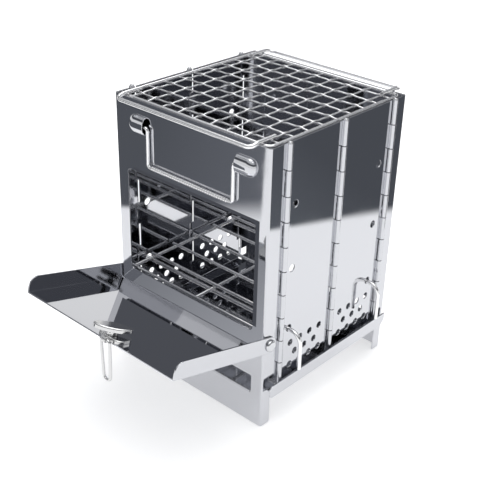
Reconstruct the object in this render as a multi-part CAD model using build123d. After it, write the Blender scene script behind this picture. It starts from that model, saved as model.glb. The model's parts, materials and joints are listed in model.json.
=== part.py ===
from build123d import *
import os
from math import cos, radians, sin

# A folding charcoal grill of stainless sheet. X runs along the front panel, Y runs from the
# front to the rear, Z is up. The origin is on the ground under the middle of the body.

# Body sheets
sheet = 1.0
body_width = 140.0
body_depth = 140.0
panel_height = 206.8
front_flange = 16.0
rear_flange = 14.0
foot_depth = 9.0
foot_top = 29.6
notch_top = 37.0
notch_depth = 3.4
bend_radius = 1.5
fit_gap = 0.05
rest_gap = 0.2

# Openings of the front and rear panels
window_width = 119.0
window_height = 79.4
window_inset = 52.4
window_corner = 3.0
slot_width = 120.0
slot_height = 14.3
slot_corner = 1.0

# Side leaves and their hinges
leaf_bottom = 30.0
knuckle_radius = 2.0
knuckle_count = 10
knuckle_gap = 0.5
knuckle_clearance = 0.4
pin_radius = 1.0
pin_head_radius = 1.6
pin_head_height = 1.3
pin_tail_height = 0.8

# Level holes and vent holes of the side leaves
level_hole_radius = 2.7
level_span = 89.0
level_first = 70.2
level_step = 46.4
level_count = 3
vent_radius = 2.5
vent_pitch = 10.4
vent_row_pitch = 8.9
vent_top_row = 57.2
vent_counts = (4, 3, 4)

# Base tray
tray_top = 25.7
tray_play = 0.3
rail_gap = 4.0
rail_height = 9.8
rail_front_inset = 3.0
rail_rear_inset = 4.7
rail_front_radius = 3.5
rail_rear_chamfer = 4.4
tab_play = 1.0

# Support rods
rod_radius = 1.5
rod_left_reach = 4.0
rod_right_reach = 2.5
hook_radius = 8.0
hook_leg = 19.5

# Charcoal grate
grate_wire_radius = 1.25
grate_weld = 0.2
grate_pitch = 22.0
grate_bar_count = 7
grate_bar_length = 132.0
grate_runner_span = 128.0
grate_runner_length = 134.5

# Cooking net
net_wire_radius = 1.3
net_side_play = 1.7
net_end_play = 0.9
net_corner = 4.0
net_weld = 0.2
mesh_wire = 1.3
mesh_count = 9
mesh_pitch = 14.4
loop_wire_radius = 1.4
loop_leg_span = 120.0
loop_reach = 7.4
loop_leg_inside = 15.0
loop_bend_reach = 1.2
loop_bend = 4.0
loop_corner = 4.5

# Carry handle and its ears
ear_radius = 6.4
ear_depth = 4.3
ear_wall = 0.8
ear_length = 15.8
ear_slack = 2.5
ear_centre = 2.1
handle_inset = 16.5
handle_wire_radius = 1.2
handle_width = 77.8
handle_shift = 0.4
handle_drop = 27.3
handle_corner = 2.4
handle_end = 8.0
grip_radius = 1.6
grip_panel_gap = 0.3
grip_length = 70.0
grip_ribs = 35
grip_groove = 0.25

# Drop-down door
door_angle = 15.0
door_side_gap = 0.5
door_near = 4.0
door_length = 89.2
door_flange = 11.0
door_corner = 7.0
pivot_depth = 5.0
pivot_height = 66.5
rivet_radius = 1.5
rivet_head_radius = 4.3
rivet_head_height = 2.1
rivet_tail_radius = 3.0
rivet_tail_height = 1.0
rivet_gap = 0.15

# Latch plate on the door
latch_x = 9.8
latch_reach = 84.4
latch_plate_width = 22.0
latch_plate_depth = 13.5
latch_plate_corner = 5.0
latch_plate_height = 2.6
latch_plate_edge = 0.9
latch_plate_x = 11.0
latch_plate_reach = 82.3

# Hanging wire loop of the latch
loop_lug_radius = 2.1
loop_lug_length = 3.2
loop_lug_x = 11.9
loop_lug_gap = 0.3
hook_wire_radius = 1.1
hook_top_width = 8.4
hook_low_width = 6.4
hook_drop = 31.0
hook_corner = 2.0
hook_end_radius = 3.0

# Thumb wing of the latch
wing_length = 25.5
wing_width = 11.0
wing_thick = 3.0
wing_edge = 1.2
wing_level = 5.8
wing_hub_radius = 4.2
wing_turn = 38.0
wing_gap = 0.15
post_radius = 1.8
post_head_radius = 3.2
post_head_height = 1.2

# Places worked out from the sizes above
half_width = body_width / 2
inner_half = half_width - sheet
front_out = -body_depth / 2
front_in = front_out + sheet
rear_out = body_depth / 2
rear_in = rear_out - sheet
hinge_front = front_out + front_flange
hinge_rear = rear_out - rear_flange
hinge_middle = (hinge_front + hinge_rear) / 2
barrel_x = inner_half + knuckle_radius
knuckle_pitch = (panel_height - leaf_bottom) / knuckle_count
sheet_stop = knuckle_radius + knuckle_clearance

tray_low = tray_top - sheet
slot_bottom = tray_low - fit_gap
rail_in = half_width + rail_gap
rail_out = rail_in + sheet

rod_z = level_first - level_hole_radius + rest_gap + rod_radius
runner_z = rod_z + rod_radius + rest_gap + grate_wire_radius
bar_z = runner_z + 2 * grate_wire_radius - grate_weld

loop_z = panel_height + rest_gap + loop_wire_radius
border_z = loop_z - loop_wire_radius - net_wire_radius + net_weld
border_half_x = inner_half - net_side_play - net_wire_radius
border_half_y = rear_in - net_end_play - net_wire_radius

window_top = panel_height - window_inset
window_bottom = window_top - window_height

handle_y = front_out - grip_panel_gap - grip_radius
handle_height = panel_height - handle_inset
handle_centre = ear_centre + handle_shift
ear_opening_span = handle_width + 2 * ear_slack
handle_low = handle_height - handle_drop

pivot_y = front_out + pivot_depth
eye_radius = (door_flange + sheet) / 2
pivot_level = door_flange - eye_radius
door_outer = half_width + door_side_gap + sheet
door_rise = Vector(0, sin(radians(door_angle)), cos(radians(door_angle)))
door_foot = Vector(0, pivot_y, pivot_height) - door_rise * pivot_level
# The door's own X points left along its hinge, Y runs out along its plate, Z rises from the plate.
door_frame = Plane(origin=door_foot, x_dir=(-1, 0, 0), z_dir=door_rise)
lug_reach = door_length + loop_lug_gap + loop_lug_radius
lug_level = loop_lug_radius - sheet


def between(x0, x1, y0, y1, z0, z1):
    """A box from its six faces."""
    return Pos((x0 + x1) / 2, (y0 + y1) / 2, (z0 + z1) / 2) * Box(x1 - x0, y1 - y0, z1 - z0)


def wire_along(path, radius):
    """A round wire that follows a path."""
    return sweep(Plane(origin=path @ 0, z_dir=path % 0) * Circle(radius), path=path)


def cylinder_x(x0, x1, y, z, radius):
    return Pos((x0 + x1) / 2, y, z) * Rot(0, 90, 0) * Cylinder(radius, x1 - x0)


def cylinder_y(x, y0, y1, z, radius):
    return Pos(x, (y0 + y1) / 2, z) * Rot(90, 0, 0) * Cylinder(radius, y1 - y0)


def cylinder_z(x, y, z0, z1, radius):
    return Pos(x, y, (z0 + z1) / 2) * Cylinder(radius, z1 - z0)


def on_left(solid):
    """The same piece on the other side of the body."""
    return mirror(solid, about=Plane.YZ)


def knuckle_row(axis_y, toward, first):
    """Rolled knuckles of a right-hand sheet that lies on the `toward` side of the hinge axis."""
    edge_y = axis_y + toward * (sheet_stop + sheet)
    row = Part()
    for index in range(first, knuckle_count, 2):
        top = panel_height - index * knuckle_pitch
        low = top - knuckle_pitch + knuckle_gap
        row += cylinder_z(barrel_x, axis_y, low, top, knuckle_radius)
        row += between(inner_half, half_width, min(axis_y, edge_y), max(axis_y, edge_y), low, top)
    return row


def hinge_bore(axis_y):
    return cylinder_z(barrel_x, axis_y, leaf_bottom - 1, panel_height + 1, pin_radius + fit_gap)


def folded_panel(flange):
    """A front panel's face with two side flanges, two feet and its half of two hinges."""
    far = front_out + flange - sheet_stop
    outer = between(-half_width, half_width, front_out, far, 0, panel_height)
    outer = fillet(outer.edges().filter_by(Axis.Z).group_by(Axis.Y)[0], bend_radius)
    inner = between(-inner_half, inner_half, front_in, far + 1, -1, panel_height + 1)
    inner = fillet(inner.edges().filter_by(Axis.Z).group_by(Axis.Y)[0], bend_radius - sheet)
    panel = outer - inner
    wide = half_width + 1
    panel -= between(-wide, wide, front_out + foot_depth, far + 1, -1, notch_top)
    panel -= between(-wide, wide, front_out + notch_depth, far + 1, foot_top, notch_top)
    slot = Box(slot_width, 4 * sheet, slot_height)
    slot = fillet(slot.edges().filter_by(Axis.Y), slot_corner)
    panel -= Pos(0, front_out, slot_bottom + slot_height / 2) * slot
    row = knuckle_row(front_out + flange, -1, 0)
    bore = hinge_bore(front_out + flange)
    panel = panel + row + on_left(row)
    return panel - bore - on_left(bore)


def front_panel():
    window = Box(window_width, 4 * sheet, window_top - window_bottom)
    window = fillet(window.edges().filter_by(Axis.Y), window_corner)
    panel = folded_panel(front_flange) - Pos(0, front_out, (window_top + window_bottom) / 2) * window
    return panel - cylinder_x(-door_outer, door_outer, pivot_y, pivot_height, rivet_radius + fit_gap)


def rear_panel():
    return mirror(folded_panel(rear_flange), about=Plane.XZ)


def side_leaf(front_axis, rear_axis, level_y, front_first, rear_first):
    """A right-hand leaf between two hinge axes, with its level holes and vent holes."""
    leaf = between(
        inner_half, half_width, front_axis + sheet_stop, rear_axis - sheet_stop, leaf_bottom, panel_height
    )
    leaf += knuckle_row(front_axis, 1, front_first)
    leaf += knuckle_row(rear_axis, -1, rear_first)
    leaf -= hinge_bore(front_axis)
    leaf -= hinge_bore(rear_axis)
    for level in range(level_count):
        z = level_first + level * level_step
        leaf -= cylinder_x(inner_half - 1, half_width + 1, level_y, z, level_hole_radius)
    for row, count in enumerate(vent_counts):
        z = vent_top_row - row * vent_row_pitch
        for column in range(count):
            y = (front_axis + rear_axis) / 2 + (column - (count - 1) / 2) * vent_pitch
            leaf -= cylinder_x(inner_half - 1, half_width + 1, y, z, vent_radius)
    return leaf


def front_leaf():
    return side_leaf(hinge_front, hinge_middle, -level_span / 2, 1, 0)


def rear_leaf():
    return side_leaf(hinge_middle, hinge_rear, level_span / 2, 1, 1)


def hinge_pins():
    """Six pins, each with a domed head on the top knuckle and a peened tail below the last one."""
    head = cylinder_z(0, 0, panel_height, panel_height + pin_head_height, pin_head_radius)
    head = fillet(head.edges().group_by(Axis.Z)[-1], pin_head_radius * 0.7)
    pin = head + cylinder_z(0, 0, leaf_bottom, panel_height, pin_radius)
    pin += cylinder_z(0, 0, leaf_bottom - pin_tail_height, leaf_bottom, pin_head_radius)
    pins = Part()
    for x in (-barrel_x, barrel_x):
        for y in (hinge_front, hinge_middle, hinge_rear):
            pins += Pos(x, y, 0) * pin
    return pins


def base_tray():
    """The bottom tray: a floor with tabs through both low slots and a raised rail on each side."""
    floor = between(-rail_out, rail_out, front_in + tray_play, rear_in - tray_play, tray_low, tray_top)
    tab = slot_width / 2 - tab_play
    floor += between(-tab, tab, front_out, rear_out, tray_low, tray_top)
    beside = inner_half - tray_play
    foot_front = front_out + foot_depth + tray_play
    foot_rear = rear_out - foot_depth - tray_play
    for x0, x1 in ((-rail_out, -beside), (beside, rail_out)):
        floor -= between(x0, x1, front_out - 1, foot_front, tray_low - 1, tray_top + 1)
        floor -= between(x0, x1, foot_rear, rear_out + 1, tray_low - 1, tray_top + 1)
    rail_front = front_out + rail_front_inset
    rail_rear = rear_out - rail_rear_inset
    rail = between(rail_in, rail_out, rail_front, rail_rear, tray_low, tray_low + rail_height)
    rail = fillet(rail.edges().filter_by(Axis.X).group_by(Axis.Y)[0], rail_front_radius)
    rail = chamfer(rail.edges().filter_by(Axis.X).sort_by(Axis.Z)[:2].sort_by(Axis.Y)[-1], rail_rear_chamfer)
    return floor + rail + on_left(rail)


def support_rod(y):
    """A rod through one pair of level holes, bent down into a hook outside the right wall."""
    start = -half_width - rod_left_reach
    end = half_width + rod_right_reach + hook_radius
    low = rod_z - hook_radius - hook_leg
    path = FilletPolyline((start, y, rod_z), (end, y, rod_z), (end, y, low), radius=hook_radius)
    return wire_along(path, rod_radius)


def grate_runners():
    half = grate_runner_length / 2
    runners = Part()
    for x in (-grate_runner_span / 2, 0, grate_runner_span / 2):
        runners += cylinder_y(x, -half, half, runner_z, grate_wire_radius)
    return runners


def grate_bars():
    """Cross bars, each flattened where it is welded to the runners."""
    half = grate_bar_length / 2
    bars = Part()
    for index in range(grate_bar_count):
        y = (index - (grate_bar_count - 1) / 2) * grate_pitch
        bars += cylinder_x(-half, half, y, bar_z, grate_wire_radius)
    return bars - grate_runners()


def net_loop(side):
    """A loop of thick wire at one end of the net. It lies on the panel's top edge and droops past it."""
    half = loop_leg_span / 2
    inside = side * (rear_out - loop_leg_inside)
    over = side * (rear_out + loop_bend_reach)
    outside = side * (rear_out + loop_reach)
    corners = [
        (-half, inside, loop_z),
        (-half, over, loop_z),
        (-half, outside, panel_height),
        (half, outside, panel_height),
        (half, over, loop_z),
        (half, inside, loop_z),
    ]
    radii = (loop_bend, loop_corner, loop_corner, loop_bend)
    return wire_along(FilletPolyline(*corners, radius=radii), loop_wire_radius)


def border_wire():
    """The border's full round wire, before the welds."""
    outline = Plane(origin=(0, 0, border_z)) * RectangleRounded(2 * border_half_x, 2 * border_half_y, net_corner)
    return wire_along(outline.wire(), net_wire_radius)


def net_border():
    """The border wire that drops inside the walls, flattened where the loops are welded on it."""
    return border_wire() - net_loop(-1) - net_loop(1)


def net_mesh():
    """The net of crossing wires inside the border, as one pierced sheet."""
    grid = Sketch()
    for index in range(mesh_count):
        offset = (index - (mesh_count - 1) / 2) * mesh_pitch
        grid += Pos(offset, 0) * Rectangle(mesh_wire, 2 * border_half_y)
        grid += Pos(0, offset) * Rectangle(2 * border_half_x, mesh_wire)
    mesh = extrude(Plane(origin=(0, 0, border_z - mesh_wire / 2)) * grid, mesh_wire)
    return mesh - border_wire()


def handle_ear():
    """The right ear: a flat pressed half dome on the front face, open toward the handle."""
    opening = ear_opening_span / 2
    shoulder = opening + ear_length - ear_radius

    def bullet(radius, start):
        outline = Line((start, 0), (start, radius)) + Line((start, radius), (shoulder, radius))
        outline += RadiusArc((shoulder, radius), (shoulder + radius, 0), radius)
        outline += Line((shoulder + radius, 0), (start, 0))
        return revolve(make_face(outline), Axis.X, 360)

    ear = bullet(ear_radius, opening) - bullet(ear_radius - ear_wall, opening - 1)
    ear &= between(0, body_width, -2 * ear_radius, 0, -2 * ear_radius, 2 * ear_radius)
    return scale(ear, by=(1, ear_depth / ear_radius, 1))


def right_ear():
    return Pos(ear_centre, front_out, handle_height) * handle_ear()


def left_ear():
    return Pos(ear_centre, front_out, handle_height) * on_left(handle_ear())


def handle_wire():
    """The wire bail that hangs from the two ears."""
    left = handle_centre - handle_width / 2
    right = handle_centre + handle_width / 2
    corners = [
        (left - handle_end, handle_y, handle_height),
        (left, handle_y, handle_height),
        (left, handle_y, handle_low),
        (right, handle_y, handle_low),
        (right, handle_y, handle_height),
        (right + handle_end, handle_y, handle_height),
    ]
    return wire_along(FilletPolyline(*corners, radius=handle_corner), handle_wire_radius)


def handle_grip():
    """A ribbed sleeve on the handle's lower bar."""
    pitch = grip_length / grip_ribs
    hollow = handle_wire_radius + fit_gap
    points = [(0, hollow), (0, grip_radius - grip_groove)]
    for rib in range(grip_ribs):
        start = rib * pitch
        points.append((start + 0.25 * pitch, grip_radius))
        points.append((start + 0.75 * pitch, grip_radius))
        points.append((start + pitch, grip_radius - grip_groove))
    points.append((grip_length, hollow))
    sleeve = revolve(make_face(Polyline(*points, close=True)), Axis.X, 360)
    return Pos(handle_centre - grip_length / 2, handle_y, handle_low) * sleeve


def door_panel():
    """The door: a plate with two side flanges that turn on the two rivets."""
    plate = between(-door_outer, door_outer, door_near, door_length, -sheet, 0)
    plate -= cylinder_z(-latch_x, latch_reach, -2 * sheet, sheet, post_radius + fit_gap)
    flange = between(door_outer - sheet, door_outer, 0, door_length, -sheet, door_flange)
    far_top = flange.edges().filter_by(Axis.X).group_by(Axis.Y)[-1].sort_by(Axis.Z)[-1]
    flange = fillet(far_top, door_corner)
    flange += cylinder_x(door_outer - sheet, door_outer, 0, pivot_level, eye_radius)
    flange -= cylinder_x(door_outer - 2 * sheet, door_outer + 1, 0, pivot_level, rivet_radius + fit_gap)
    return door_frame * (plate + flange + on_left(flange))


def door_rivets():
    """Two domed pivot rivets through the front panel's flanges and the door's arms."""
    head_x = door_outer + rivet_gap
    tail_x = inner_half - rivet_tail_height
    head = cylinder_x(head_x, head_x + rivet_head_height, 0, 0, rivet_head_radius)
    head = fillet(head.edges().group_by(Axis.X)[-1], rivet_head_height * 0.9)
    rivet = head + cylinder_x(tail_x, head_x, 0, 0, rivet_radius)
    rivet += cylinder_x(tail_x, inner_half, 0, 0, rivet_tail_radius)
    rivet = Pos(0, pivot_y, pivot_height) * rivet
    return rivet + on_left(rivet)


def latch_base():
    """The latch's pressed plate, with the lug that carries its wire loop past the door's edge."""
    plate = extrude(
        RectangleRounded(latch_plate_width, latch_plate_depth, latch_plate_corner), latch_plate_height
    )
    plate = fillet(plate.edges().group_by(Axis.Z)[-1], latch_plate_edge)
    plate = Pos(-latch_plate_x, latch_plate_reach, 0) * plate
    left = -loop_lug_x - loop_lug_length / 2
    right = -loop_lug_x + loop_lug_length / 2
    lug = cylinder_x(left, right, lug_reach, lug_level, loop_lug_radius)
    lug += between(left, right, latch_plate_reach, lug_reach, 0, lug_level + loop_lug_radius / 2)
    base = plate + lug - cylinder_x(left - 1, right + 1, lug_reach, lug_level, hook_wire_radius + fit_gap)
    base -= cylinder_z(-latch_x, latch_reach, -1, latch_plate_height + 1, post_radius + fit_gap)
    return door_frame * base


def latch_loop():
    """The wire loop, hanging straight down from the lug."""
    pivot = door_frame.from_local_coords(Vector(-loop_lug_x, lug_reach, lug_level))
    top = hook_top_width / 2
    low = hook_low_width / 2
    corners = [(-top, 0, 0), (top, 0, 0), (low, 0, -hook_drop), (-low, 0, -hook_drop)]
    radii = (hook_corner, hook_corner, hook_end_radius, hook_end_radius)
    path = FilletPolyline(*corners, radius=radii, close=True)
    return Pos(*pivot) * wire_along(path, hook_wire_radius)


def latch_post():
    """The post that turns with the wing and is peened under the door's plate."""
    low = -sheet - wing_gap
    post = cylinder_z(0, 0, low, wing_level, post_radius)
    post += cylinder_z(0, 0, low - post_head_height, low, post_head_radius)
    return door_frame * (Pos(-latch_x, latch_reach, 0) * post)


def latch_wing():
    """The oval thumb wing on its hub."""
    low = latch_plate_height + wing_gap
    oval = extrude(Plane.XY.offset(wing_level) * Ellipse(wing_length / 2, wing_width / 2), wing_thick)
    oval = fillet(oval.edges().group_by(Axis.Z)[-1], wing_edge)
    wing = Rot(0, 0, wing_turn) * oval + cylinder_z(0, 0, low, wing_level, wing_hub_radius)
    wing -= cylinder_z(0, 0, low - 1, wing_level, post_radius)
    return door_frame * (Pos(-latch_x, latch_reach, 0) * wing)


PIECES = {
    "front_panel": front_panel(),
    "rear_panel": rear_panel(),
    "front_right_leaf": front_leaf(),
    "rear_right_leaf": rear_leaf(),
    "front_left_leaf": on_left(front_leaf()),
    "rear_left_leaf": on_left(rear_leaf()),
    "hinge_pins": hinge_pins(),
    "base_tray": base_tray(),
    "left_ear": left_ear(),
    "right_ear": right_ear(),
    "door_rivets": door_rivets(),
    "door_panel": door_panel(),
    "latch_base": latch_base(),
    "latch_post": latch_post(),
    "latch_wing": latch_wing(),
    "latch_loop": latch_loop(),
    "handle_wire": handle_wire(),
    "handle_grip": handle_grip(),
    "net_border": net_border(),
    "net_mesh": net_mesh(),
    "net_front_loop": net_loop(-1),
    "net_rear_loop": net_loop(1),
    "grate_runners": grate_runners(),
    "grate_bars": grate_bars(),
    "front_rod": support_rod(-level_span / 2),
    "rear_rod": support_rod(level_span / 2),
}

os.makedirs("parts", exist_ok=True)
for name, piece in PIECES.items():
    export_step(piece, f"parts/{name}.step")
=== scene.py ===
# %% [markdown]
# # A folding charcoal grill of polished stainless sheet
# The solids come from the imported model, already in their places and in metres. Blender adds what
# polished metal needs: rounded sheet edges that catch the light, a woven net of crimped wires, the
# ribs of the grip, and a studio for the mirror surfaces to reflect.

# %% Load the solids
import bpy
import bmesh
import json
import math
from mathutils import Matrix, Vector


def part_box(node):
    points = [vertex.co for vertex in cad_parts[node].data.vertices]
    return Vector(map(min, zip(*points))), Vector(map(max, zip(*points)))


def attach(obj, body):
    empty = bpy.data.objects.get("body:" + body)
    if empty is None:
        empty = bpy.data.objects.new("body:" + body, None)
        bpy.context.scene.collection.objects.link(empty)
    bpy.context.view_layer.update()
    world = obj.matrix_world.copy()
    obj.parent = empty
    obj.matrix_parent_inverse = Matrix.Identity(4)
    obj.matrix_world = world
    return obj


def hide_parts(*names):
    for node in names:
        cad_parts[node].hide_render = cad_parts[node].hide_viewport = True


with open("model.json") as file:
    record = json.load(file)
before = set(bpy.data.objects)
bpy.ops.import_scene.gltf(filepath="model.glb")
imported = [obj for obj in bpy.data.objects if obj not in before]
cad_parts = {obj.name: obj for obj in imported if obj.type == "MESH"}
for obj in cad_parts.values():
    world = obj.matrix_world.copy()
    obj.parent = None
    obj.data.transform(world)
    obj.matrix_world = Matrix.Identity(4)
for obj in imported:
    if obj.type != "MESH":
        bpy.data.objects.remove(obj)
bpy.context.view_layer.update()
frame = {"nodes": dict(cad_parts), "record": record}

# %% [markdown]
# ## Camera
# The photograph looks down on the front right corner. A long lens about 0.66 m away gives the
# same mild perspective. The camera is placed by its azimuth, elevation, roll and distance.

# %% Camera
AZIMUTH, ELEVATION, ROLL = map(math.radians, (41.48, 28.75, 1.76))
TARGET = Vector((0.0149, -0.0235, 0.1000))
DISTANCE = 0.6646
SENSOR_MM = 36.0
FOCAL_OVER_WIDTH = 940.3 / 501
back = Vector((
    math.sin(AZIMUTH) * math.cos(ELEVATION),
    -math.cos(AZIMUTH) * math.cos(ELEVATION),
    math.sin(ELEVATION),
))
camera_data = bpy.data.cameras.new("camera")
camera_data.sensor_width = SENSOR_MM
camera_data.lens = FOCAL_OVER_WIDTH * SENSOR_MM
camera_data.clip_start, camera_data.clip_end = 0.01, 50.0
camera = bpy.data.objects.new("camera", camera_data)
turned = back.to_track_quat("Z", "Y").to_matrix().to_4x4() @ Matrix.Rotation(ROLL, 4, "Z")
camera.matrix_world = Matrix.Translation(TARGET + back * DISTANCE) @ turned
bpy.context.scene.collection.objects.link(camera)
bpy.context.scene.camera = camera
bpy.context.scene.view_settings.view_transform = "Standard"
print("lens:", round(camera_data.lens, 2), "mm")

# %% [markdown]
# ## Two helpers for node trees
# Every material and every Geometry Nodes tree is built with one function that adds a node, sets
# its properties and joins its sockets. Colours are written as they look on a screen and turned to
# the linear values that the renderer works with.

# %% Node and colour helpers
def add_node(tree, kind, inputs=None, **settings):
    """Add one node. An input may be a value or another node's output socket."""
    made = tree.nodes.new(kind)
    for name, value in settings.items():
        setattr(made, name, value)
    for key, value in (inputs or {}).items():
        if isinstance(value, bpy.types.NodeSocket):
            tree.links.new(value, made.inputs[key])
        else:
            made.inputs[key].default_value = value
    return made


def linear(code):
    """A screen colour such as d0d2d6 as linear red, green, blue and full alpha."""
    parts = [int(code[i:i + 2], 16) / 255 for i in (0, 2, 4)]
    return tuple(c / 12.92 if c <= 0.04045 else ((c + 0.055) / 1.055) ** 2.4 for c in parts) + (1.0,)


def new_material(name):
    material = bpy.data.materials.new(name)
    material.use_nodes = True
    material.node_tree.nodes.clear()
    return material, material.node_tree


# %% [markdown]
# ## Four bare metals
# The walls, door and tray are bright stainless sheet, rolled, buffed and bent. It mirrors the room
# with a slight haze. Rolling leaves a faint grain and bending leaves very gentle waves, so straight
# reflections bend a little. Both are bump, and the haze varies through the roughness. The wires, the
# pins and the plated latch are made in the same way with their own tones, haze and grain. The wires'
# near-white tone is partly painted light: it is raised above the sheet's so that the wires look
# brightly lit.

# %% Metals
def metal(
    name, colour, rough_low, rough_high, patch_mm, wave_mm, wave_depth_mm, grain_mm, grain_depth_mm
):
    """A bare metal with patchy haze, long waves and a fine grain, all at real sizes."""
    material, tree = new_material(name)
    place = add_node(tree, "ShaderNodeTexCoord").outputs["Object"]
    patches = add_node(tree, "ShaderNodeTexNoise", {
        "Vector": place, "Scale": 1000 / patch_mm, "Detail": 3.0,
    })
    rough = add_node(tree, "ShaderNodeMapRange", {
        "Value": patches.outputs["Fac"], "From Min": 0.3, "From Max": 0.7,
        "To Min": rough_low, "To Max": rough_high,
    })
    waves = add_node(tree, "ShaderNodeTexNoise", {
        "Vector": place, "Scale": 1000 / wave_mm, "Detail": 1.0,
    })
    wave_bump = add_node(tree, "ShaderNodeBump", {
        "Height": waves.outputs["Fac"], "Distance": wave_depth_mm / 1000, "Strength": 1.0,
    })
    grain = add_node(tree, "ShaderNodeTexNoise", {
        "Vector": place, "Scale": 1000 / grain_mm, "Detail": 2.0,
    })
    grain_bump = add_node(tree, "ShaderNodeBump", {
        "Height": grain.outputs["Fac"], "Distance": grain_depth_mm / 1000, "Strength": 1.0,
        "Normal": wave_bump.outputs["Normal"],
    })
    shader = add_node(tree, "ShaderNodeBsdfPrincipled", {
        "Base Color": linear(colour), "Metallic": 1.0, "Roughness": rough.outputs["Result"],
        "Normal": grain_bump.outputs["Normal"],
    })
    add_node(tree, "ShaderNodeOutputMaterial", {"Surface": shader.outputs["BSDF"]})
    return material


# Buffed sheet: thumb-wide patches of haze and long, very shallow waves.
polished_sheet = metal("polished_stainless_sheet", "cacbcf", 0.03, 0.06, 18, 55, 0.03, 1.2, 0.0005)
# Wire pulled through a die and polished: hazier, with fine die marks. Its near-white tone is partly
# painted light, raised above the sheet's so that the wires look brightly lit.
drawn_wire_painted_bright = metal("drawn_stainless_wire_painted_bright", "f1f1f2", 0.14, 0.22, 9, 30, 0.0, 0.9, 0.003)
# Pins and rivets with pressed heads: small, smooth and slightly greyer than the wire.
turned_pin = metal("headed_stainless_pin", "d0d1d4", 0.06, 0.12, 6, 20, 0.0, 0.8, 0.003)
# Pressed steel with a nickel plating: neutral in tone, with the soft waves of a pressing.
nickel_plate = metal("nickel_plated_steel", "d3d3d3", 0.08, 0.16, 7, 12, 0.02, 0.9, 0.004)
print("metals:", [m.name for m in (polished_sheet, drawn_wire_painted_bright, turned_pin, nickel_plate)])

# %% [markdown]
# ## Sheet pieces with eased edges
# A sheared and buffed sheet has no razor edge: its corner is rounded by a tenth or two of a
# millimetre, and that thin band is what shines along every panel in daylight. Each sheet solid is
# copied, its loose triangles are merged into clean faces, and a small bevel eases its edges.

# %% Eased copies of the sheet solids
BODY_OF = {
    node: body
    for body, nodes in frame["record"]["behaviour"]["bodies"].items()
    for node in nodes
}
SAME_POINT = 2e-6
FLAT_ANGLE = math.radians(0.4)
EDGE_ANGLE = math.radians(35)


def show_piece(name, mesh, material, body):
    """Put a finished mesh in the scene, riding on its body."""
    piece = bpy.data.objects.new(name, mesh)
    bpy.context.scene.collection.objects.link(piece)
    piece.data.materials.clear()
    piece.data.materials.append(material)
    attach(piece, body)
    return piece


def merged_copy(node):
    """A node's mesh with its loose triangles joined and its flat faces made whole."""
    work = bmesh.new()
    work.from_mesh(frame["nodes"][node].data)
    bmesh.ops.remove_doubles(work, verts=work.verts, dist=SAME_POINT)
    bmesh.ops.dissolve_limit(work, angle_limit=FLAT_ANGLE, verts=work.verts, edges=work.edges)
    mesh = bpy.data.meshes.new(node + "_finish")
    for face in work.faces:
        face.smooth = True
    work.to_mesh(mesh)
    work.free()
    return mesh


def eased(node, material, width_mm):
    """Replace a node by a copy with rounded edges whose flat faces still mirror as flat ones."""
    piece = show_piece(node + "_eased", merged_copy(node), material, BODY_OF[node])
    ease = piece.modifiers.new("ease", "BEVEL")
    ease.width = width_mm / 1000
    ease.segments = 2
    ease.limit_method = "ANGLE"
    ease.angle_limit = EDGE_ANGLE
    # The overlap limit would narrow every edge to suit the shortest one, so it is off.
    ease.use_clamp_overlap = False
    flat = piece.modifiers.new("keep_flat", "WEIGHTED_NORMAL")
    flat.mode = "FACE_AREA"
    flat.weight = 100
    flat.thresh = 0.0005
    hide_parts(node)
    return piece


for node in (
    "front_panel", "rear_panel", "front_right_leaf", "rear_right_leaf", "front_left_leaf",
    "rear_left_leaf", "base_tray", "left_ear", "right_ear", "door_panel",
):
    eased(node, polished_sheet, 0.2)
for node in ("latch_base", "latch_wing"):
    eased(node, nickel_plate, 0.15)
for node in ("hinge_pins", "door_rivets"):
    eased(node, turned_pin, 0.1)
for node in ("handle_wire", "front_rod", "rear_rod", "grate_runners", "grate_bars",
             "net_border", "net_front_loop", "net_rear_loop"):
    eased(node, drawn_wire_painted_bright, 0.15)
for node in ("latch_loop", "latch_post"):
    eased(node, nickel_plate, 0.1)

# %% [markdown]
# ## The woven cooking net
# The net is crimped wire cloth: each wire is straight between the crossings and kinked at each one,
# over one wire and under the next, so the net stays flat and its meshes stay square. The kinks
# follow the grid by rule, so Geometry Nodes make them: one straight wire is repeated, and its height
# is a product of two cosines, whose sign changes from crossing to crossing. A power narrows the kinks.
# Near its ends each wire comes back to the level of the border wire.

# %% Crimped wire net
NET_NODE_LOW, NET_NODE_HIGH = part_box("net_mesh")
NET_LEVEL = (NET_NODE_LOW.z + NET_NODE_HIGH.z) / 2
NET_HALF_X = 0.0660
NET_HALF_Y = 0.0668
NET_PITCH = 0.0144
NET_WIRES = 9
NET_WIRE_RADIUS = 0.00068
NET_CRIMP = 0.0006
NET_END_HEIGHT = -0.0003
NET_END_LENGTH = 0.0075
NET_KINK_POWER = 7.0
NET_WIRE_POINTS = 181


def group_with_inputs(name, sizes):
    """An empty Geometry Nodes group with one named number for each size."""
    group = bpy.data.node_groups.new(name, "GeometryNodeTree")
    identifiers = {}
    for label, value in sizes.items():
        kind = "NodeSocketInt" if isinstance(value, int) else "NodeSocketFloat"
        socket = group.interface.new_socket(label, in_out="INPUT", socket_type=kind)
        socket.default_value = value
        identifiers[label] = socket.identifier
    group.interface.new_socket("Geometry", in_out="OUTPUT", socket_type="NodeSocketGeometry")
    return group, identifiers


def grown_mesh(name, group, identifiers, sizes):
    """Run a group once and return its result as a plain mesh."""
    holder = bpy.data.objects.new(name + "_grower", bpy.data.meshes.new(name + "_seed"))
    bpy.context.scene.collection.objects.link(holder)
    grower = holder.modifiers.new("grow", "NODES")
    grower.node_group = group
    for label, value in sizes.items():
        grower[identifiers[label]] = value
    shown = holder.evaluated_get(bpy.context.evaluated_depsgraph_get())
    mesh = bpy.data.meshes.new_from_object(shown)
    mesh.name = name
    bpy.data.objects.remove(holder)
    return mesh


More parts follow.
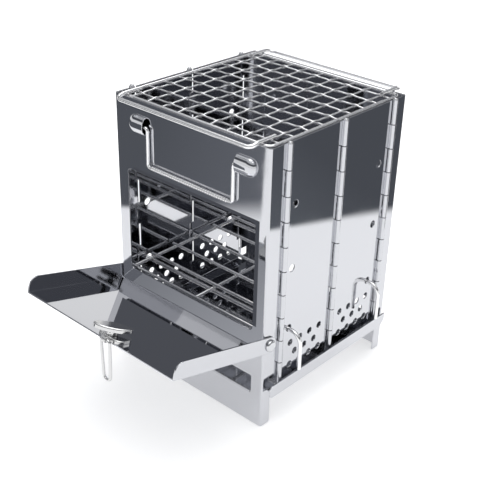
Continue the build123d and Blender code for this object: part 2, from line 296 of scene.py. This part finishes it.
def crimped_wires(along_x):
    """The wires of one direction. Where a wire along X goes over, the one along Y goes under."""
    sizes = {
        "Half Length": NET_HALF_X if along_x else NET_HALF_Y,
        "Pitch": NET_PITCH,
        "Wires": NET_WIRES,
        "Crimp": NET_CRIMP * (1 if along_x else -1),
        "Wire Radius": NET_WIRE_RADIUS,
        "End Height": NET_END_HEIGHT,
        "Level": NET_LEVEL,
    }
    group, identifiers = group_with_inputs("crimped_wires", sizes)
    size = add_node(group, "NodeGroupInput").outputs
    minus = add_node(group, "ShaderNodeMath", {
        0: size["Half Length"], 1: -1.0,
    }, operation="MULTIPLY")
    start = add_node(group, "ShaderNodeCombineXYZ", {"X": minus.outputs[0]})
    end = add_node(group, "ShaderNodeCombineXYZ", {"X": size["Half Length"]})
    wire = add_node(group, "GeometryNodeCurvePrimitiveLine", {
        "Start": start.outputs["Vector"], "End": end.outputs["Vector"],
    })
    fine = add_node(group, "GeometryNodeResampleCurve", {
        "Curve": wire.outputs["Curve"], "Count": NET_WIRE_POINTS,
    })
    span = add_node(group, "ShaderNodeMath", {0: size["Wires"], 1: -1.0}, operation="ADD")
    reach = add_node(group, "ShaderNodeMath", {
        0: span.outputs[0], 1: size["Pitch"],
    }, operation="MULTIPLY")
    first = add_node(group, "ShaderNodeMath", {0: reach.outputs[0], 1: -0.5}, operation="MULTIPLY")
    first_place = add_node(group, "ShaderNodeCombineXYZ", {"Y": first.outputs[0]})
    step = add_node(group, "ShaderNodeCombineXYZ", {"Y": size["Pitch"]})
    row = add_node(group, "GeometryNodeMeshLine", {
        "Count": size["Wires"], "Start Location": first_place.outputs["Vector"],
        "Offset": step.outputs["Vector"],
    })
    copies = add_node(group, "GeometryNodeInstanceOnPoints", {
        "Points": row.outputs["Mesh"], "Instance": fine.outputs["Curve"],
    })
    real = add_node(group, "GeometryNodeRealizeInstances", {"Geometry": copies.outputs["Instances"]})
    place = add_node(group, "GeometryNodeInputPosition")
    parts = add_node(group, "ShaderNodeSeparateXYZ", {"Vector": place.outputs["Position"]})
    factors = []
    for axis in ("X", "Y"):
        share = add_node(group, "ShaderNodeMath", {
            0: parts.outputs[axis], 1: size["Pitch"],
        }, operation="DIVIDE")
        turn = add_node(group, "ShaderNodeMath", {
            0: share.outputs[0], 1: math.pi,
        }, operation="MULTIPLY")
        swing = add_node(group, "ShaderNodeMath", {0: turn.outputs[0]}, operation="COSINE")
        factors.append(add_node(group, "ShaderNodeMath", {
            0: swing.outputs[0], 1: NET_KINK_POWER,
        }, operation="POWER"))
    both = add_node(group, "ShaderNodeMath", {
        0: factors[0].outputs[0], 1: factors[1].outputs[0],
    }, operation="MULTIPLY")
    wave = add_node(group, "ShaderNodeMath", {
        0: both.outputs[0], 1: size["Crimp"],
    }, operation="MULTIPLY")
    away = add_node(group, "ShaderNodeMath", {0: parts.outputs["X"]}, operation="ABSOLUTE")
    near_end = add_node(group, "ShaderNodeMath", {
        0: size["Half Length"], 1: -NET_END_LENGTH,
    }, operation="ADD")
    lifted = add_node(group, "ShaderNodeMapRange", {
        "Value": away.outputs[0], "From Min": near_end.outputs[0], "From Max": size["Half Length"],
    }, interpolation_type="SMOOTHSTEP")
    height = add_node(group, "ShaderNodeMix", {
        "Factor": lifted.outputs["Result"], "A": wave.outputs[0], "B": size["End Height"],
    })
    total = add_node(group, "ShaderNodeMath", {
        0: height.outputs["Result"], 1: size["Level"],
    }, operation="ADD")
    shift = add_node(group, "ShaderNodeCombineXYZ", {"Z": total.outputs[0]})
    waved = add_node(group, "GeometryNodeSetPosition", {
        "Geometry": real.outputs["Geometry"], "Offset": shift.outputs["Vector"],
    })
    ring = add_node(group, "GeometryNodeCurvePrimitiveCircle", {
        "Resolution": 10, "Radius": size["Wire Radius"],
    })
    round_wire = add_node(group, "GeometryNodeCurveToMesh", {
        "Curve": waved.outputs["Geometry"], "Profile Curve": ring.outputs["Curve"], "Fill Caps": True,
    })
    smooth = add_node(group, "GeometryNodeSetShadeSmooth", {"Geometry": round_wire.outputs["Mesh"]})
    dressed = add_node(group, "GeometryNodeSetMaterial", {
        "Geometry": smooth.outputs["Geometry"], "Material": drawn_wire_painted_bright,
    })
    add_node(group, "NodeGroupOutput", {"Geometry": dressed.outputs["Geometry"]})
    mesh = grown_mesh("net_wires", group, identifiers, sizes)
    if not along_x:
        mesh.transform(Matrix.Rotation(math.pi / 2, 4, "Z"))
    return mesh


net_across = show_piece(
    "net_wires_across", crimped_wires(True), drawn_wire_painted_bright, "cooking_net"
)
net_along = show_piece(
    "net_wires_along", crimped_wires(False), drawn_wire_painted_bright, "cooking_net"
)
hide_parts("net_mesh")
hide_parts("net_mesh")
print("net faces:", len(net_across.data.polygons) + len(net_along.data.polygons))

# %% [markdown]
# ## The ribbed grip
# A close spring of thin wire sleeves the lower bar of the bail, so that it stays cooler than the
# bar and does not slip. The rings are all alike, so Geometry Nodes repeat one along the bar.

# %% Ringed grip
GRIP_LOW, GRIP_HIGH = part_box("handle_grip")
GRIP_Y = (GRIP_LOW.y + GRIP_HIGH.y) / 2
GRIP_Z = (GRIP_LOW.z + GRIP_HIGH.z) / 2
GRIP_RADIUS = (GRIP_HIGH.z - GRIP_LOW.z) / 2
GRIP_RINGS = 35
GRIP_WIRE_RADIUS = 0.00045


def grip_rings():
    sizes = {
        "Rings": GRIP_RINGS,
        "Spacing": (GRIP_HIGH.x - GRIP_LOW.x) / GRIP_RINGS,
        "Ring Radius": GRIP_RADIUS - GRIP_WIRE_RADIUS,
        "Wire Radius": GRIP_WIRE_RADIUS,
    }
    group, identifiers = group_with_inputs("grip_rings", sizes)
    size = add_node(group, "NodeGroupInput").outputs
    path = add_node(group, "GeometryNodeCurvePrimitiveCircle", {
        "Resolution": 28, "Radius": size["Ring Radius"],
    })
    profile = add_node(group, "GeometryNodeCurvePrimitiveCircle", {
        "Resolution": 8, "Radius": size["Wire Radius"],
    })
    ring = add_node(group, "GeometryNodeCurveToMesh", {
        "Curve": path.outputs["Curve"], "Profile Curve": profile.outputs["Curve"],
    })
    step = add_node(group, "ShaderNodeCombineXYZ", {"X": size["Spacing"]})
    row = add_node(group, "GeometryNodeMeshLine", {
        "Count": size["Rings"], "Offset": step.outputs["Vector"],
    })
    copies = add_node(group, "GeometryNodeInstanceOnPoints", {
        "Points": row.outputs["Mesh"], "Instance": ring.outputs["Mesh"],
        "Rotation": (0.0, math.pi / 2, 0.0),
    })
    real = add_node(group, "GeometryNodeRealizeInstances", {"Geometry": copies.outputs["Instances"]})
    smooth = add_node(group, "GeometryNodeSetShadeSmooth", {"Geometry": real.outputs["Geometry"]})
    dressed = add_node(group, "GeometryNodeSetMaterial", {
        "Geometry": smooth.outputs["Geometry"], "Material": drawn_wire_painted_bright,
    })
    add_node(group, "NodeGroupOutput", {"Geometry": dressed.outputs["Geometry"]})
    mesh = grown_mesh("grip_rings", group, identifiers, sizes)
    mesh.transform(Matrix.Translation((GRIP_LOW.x + sizes["Spacing"] / 2, GRIP_Y, GRIP_Z)))
    return mesh


grip = show_piece(
    "grip_spring", grip_rings(), drawn_wire_painted_bright, BODY_OF["handle_grip"]
)
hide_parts("handle_grip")
print("grip rings:", GRIP_RINGS, "faces:", len(grip.data.polygons))

# %% [markdown]
# ## Studio
# Mirror metal shows its surroundings, so the studio is part of the finish. A white table runs
# under and close around the grill, and beyond it the room is dark: that is why the walls are bright
# low down and dark grey higher up. Two dark floor cards stand for that room, left and right. A third
# card, behind the grill, is a painted shadow: the grill's own shadow on the table. A fourth card is
# painted shade: it fills the mouth of the window for the shade inside the firebox that the door and
# the walls would mirror. Only reflections see these cards.

# %% Floor and room
TABLE_HALF = 6
TABLE_GLOW = 0.50
CARD_LIFT = 0.0006
CARD_OVERLAP = 0.06
CARD_REACH = 4
WINDOW_HALF_X = 0.0590
WINDOW_Y = -0.0745
WINDOW_Z = (0.0755, 0.1540)


def flat_card(name, corners, material):
    """A flat piece of the studio, which is no part of the model."""
    mesh = bpy.data.meshes.new(name)
    mesh.from_pydata([tuple(c) for c in corners], [], [tuple(range(len(corners)))])
    card = bpy.data.objects.new(name, mesh)
    card.data.materials.append(material)
    bpy.context.scene.collection.objects.link(card)
    return card


white_table, tree = new_material("matt_white_table")
matt = add_node(tree, "ShaderNodeBsdfDiffuse", {"Color": linear("f0f0f0")})
glow = add_node(tree, "ShaderNodeEmission", {"Color": (1.0, 1.0, 1.0, 1.0), "Strength": TABLE_GLOW})
both = add_node(tree, "ShaderNodeAddShader", {0: matt.outputs[0], 1: glow.outputs[0]})
add_node(tree, "ShaderNodeOutputMaterial", {"Surface": both.outputs[0]})
flat_card("table", [
    (-TABLE_HALF, -TABLE_HALF, 0), (TABLE_HALF, -TABLE_HALF, 0),
    (TABLE_HALF, TABLE_HALF, 0), (-TABLE_HALF, TABLE_HALF, 0),
], white_table)


def only_in_mirrors(card):
    """Hide a card from everything but glossy rays."""
    card.visible_camera = False
    card.visible_diffuse = False
    card.visible_shadow = False
    card.visible_transmission = False


def tone_ramp(tree, value, stops):
    """A run of tones along a value. Each stop is a place from 0 to 1 and a screen colour."""
    ramp = add_node(tree, "ShaderNodeValToRGB", {"Fac": value})
    for position, code in stops:
        ramp.color_ramp.elements.new(position).color = linear(code)
    ramp.color_ramp.elements.remove(ramp.color_ramp.elements[0])
    ramp.color_ramp.elements.remove(ramp.color_ramp.elements[-1])
    return ramp.outputs["Color"]


def dark_floor(name, edge_a, edge_b, tones, fades, beyond):
    """Dark floor beyond the line from edge_a to edge_b, seen only in mirrors.
    Its tone and the width over which the white table fades into it run from one end to the other.
    The line runs on past its two ends by the lengths in beyond.
    """
    a, b = Vector(edge_a), Vector(edge_b)
    along = (b - a).normalized()
    out = Vector((along.y, -along.x))
    if out.dot(a) < 0:
        out = -out
    material, tree = new_material(name)
    place = add_node(tree, "ShaderNodeTexCoord").outputs["Object"]

    def measured(direction, origin):
        """How far the shaded point lies from the origin along a direction on the floor."""
        reach = add_node(tree, "ShaderNodeVectorMath", {
            0: place, 1: (direction.x, direction.y, 0.0),
        }, operation="DOT_PRODUCT")
        return add_node(tree, "ShaderNodeMath", {
            0: reach.outputs["Value"], 1: -direction.dot(origin),
        }, operation="ADD").outputs[0]

    side = add_node(tree, "ShaderNodeMapRange", {
        "Value": measured(along, a), "From Min": 0.0, "From Max": (b - a).length,
    }).outputs["Result"]
    fade = add_node(tree, "ShaderNodeMapRange", {
        "Value": side, "To Min": fades[0], "To Max": fades[1],
    }).outputs["Result"]
    depth = add_node(tree, "ShaderNodeMath", {
        0: measured(out, a), 1: fade,
    }, operation="DIVIDE").outputs[0]
    cover = add_node(tree, "ShaderNodeMapRange", {
        "Value": depth, "From Min": -0.5, "From Max": 0.5,
    }, interpolation_type="SMOOTHSTEP").outputs["Result"]
    tone = add_node(tree, "ShaderNodeMix", {
        "Factor": side, "A": linear(tones[0]), "B": linear(tones[1]),
    }, data_type="RGBA").outputs["Result"]
    dim = add_node(tree, "ShaderNodeEmission", {"Color": tone, "Strength": 1.0})
    clear = add_node(tree, "ShaderNodeBsdfTransparent")
    shown = add_node(tree, "ShaderNodeMixShader", {0: cover, 1: clear.outputs[0], 2: dim.outputs[0]})
    add_node(tree, "ShaderNodeOutputMaterial", {"Surface": shown.outputs[0]})
    start, end = a - along * beyond[0], b + along * beyond[1]
    corners = [
        start - out * CARD_OVERLAP, end - out * CARD_OVERLAP,
        end + out * CARD_REACH, start + out * CARD_REACH,
    ]
    only_in_mirrors(flat_card(name, [(c.x, c.y, CARD_LIFT) for c in corners], material))


dark_floor(
    "dark_floor_left", (-0.255, -0.230), (-0.150, -0.318),
    tones=("62656b", "767980"), fades=(0.012, 0.075), beyond=(3.0, 0.0),
)
dark_floor(
    "dark_floor_right", (0.262, 0.150), (0.205, 0.272),
    tones=("6a6e74", "595c62"), fades=(0.010, 0.022), beyond=(0.0, 3.0),
)
# Painted shadow: this grey card stands for the grill's own shadow on the table just behind it.
dark_floor(
    "painted_shadow_behind_grill", (0.022, 0.088), (0.060, 0.088),
    tones=("606268", "606268"), fades=(0.02, 0.02), beyond=(0.0, 0.0),
)

# Painted shade: a grey glowing card across the window mouth stands for the shade inside the firebox.
unlit, tree = new_material("painted_firebox_shade")
dim = add_node(tree, "ShaderNodeEmission", {"Color": linear("5c5e64"), "Strength": 1.0})
add_node(tree, "ShaderNodeOutputMaterial", {"Surface": dim.outputs[0]})
only_in_mirrors(flat_card("painted_window_shade", [
    (-WINDOW_HALF_X, WINDOW_Y, WINDOW_Z[0]), (WINDOW_HALF_X, WINDOW_Y, WINDOW_Z[0]),
    (WINDOW_HALF_X, WINDOW_Y, WINDOW_Z[1]), (-WINDOW_HALF_X, WINDOW_Y, WINDOW_Z[1]),
], unlit))

world = bpy.data.worlds.new("room")
world.use_nodes = True
bpy.context.scene.world = world
tree = world.node_tree
tree.nodes.clear()
# Mirrors see bands of tone that follow the height of a direction, and the camera sees plain white.
direction = add_node(tree, "ShaderNodeTexCoord").outputs["Generated"]
height = add_node(tree, "ShaderNodeSeparateXYZ", {"Vector": direction}).outputs["Z"]
bands = tone_ramp(tree, height, (
    (0.22, "ffffff"), (0.32, "55575c"), (0.54, "505257"), (0.60, "d4d6d9"),
    (0.72, "b8babd"), (0.82, "f6f7f8"), (0.98, "ffffff"),
))
room = add_node(tree, "ShaderNodeBackground", {"Color": bands, "Strength": 1.0})
backdrop = add_node(tree, "ShaderNodeBackground", {"Color": (1.0, 1.0, 1.0, 1.0), "Strength": 1.0})
seen = add_node(tree, "ShaderNodeLightPath").outputs["Is Camera Ray"]
sky = add_node(tree, "ShaderNodeMixShader", {0: seen, 1: room.outputs[0], 2: backdrop.outputs[0]})
add_node(tree, "ShaderNodeOutputWorld", {"Surface": sky.outputs[0]})


# %% [markdown]
# ## Lamps
# One large softbox hangs over the grill. A smaller one stands high at the rear left and puts its
# highlights on the net's wires. Both are weak, so that no pale surface clips.

# %% Lamps
def softbox(name, place, aim, width, watts):
    lamp_data = bpy.data.lights.new(name, "AREA")
    lamp_data.shape = "SQUARE"
    lamp_data.size = width
    lamp_data.energy = watts
    lamp = bpy.data.objects.new(name, lamp_data)
    lamp.location = place
    lamp.rotation_euler = (Vector(aim) - Vector(place)).to_track_quat("-Z", "Y").to_euler()
    bpy.context.scene.collection.objects.link(lamp)
    return lamp


softbox("overhead", (0.1, -0.1, 1.3), (0, 0, 0.1), 0.9, 3.5)
softbox("rear_left", (-0.60, 0.66, 1.20), (0, 0, 0.2), 0.6, 2.6)
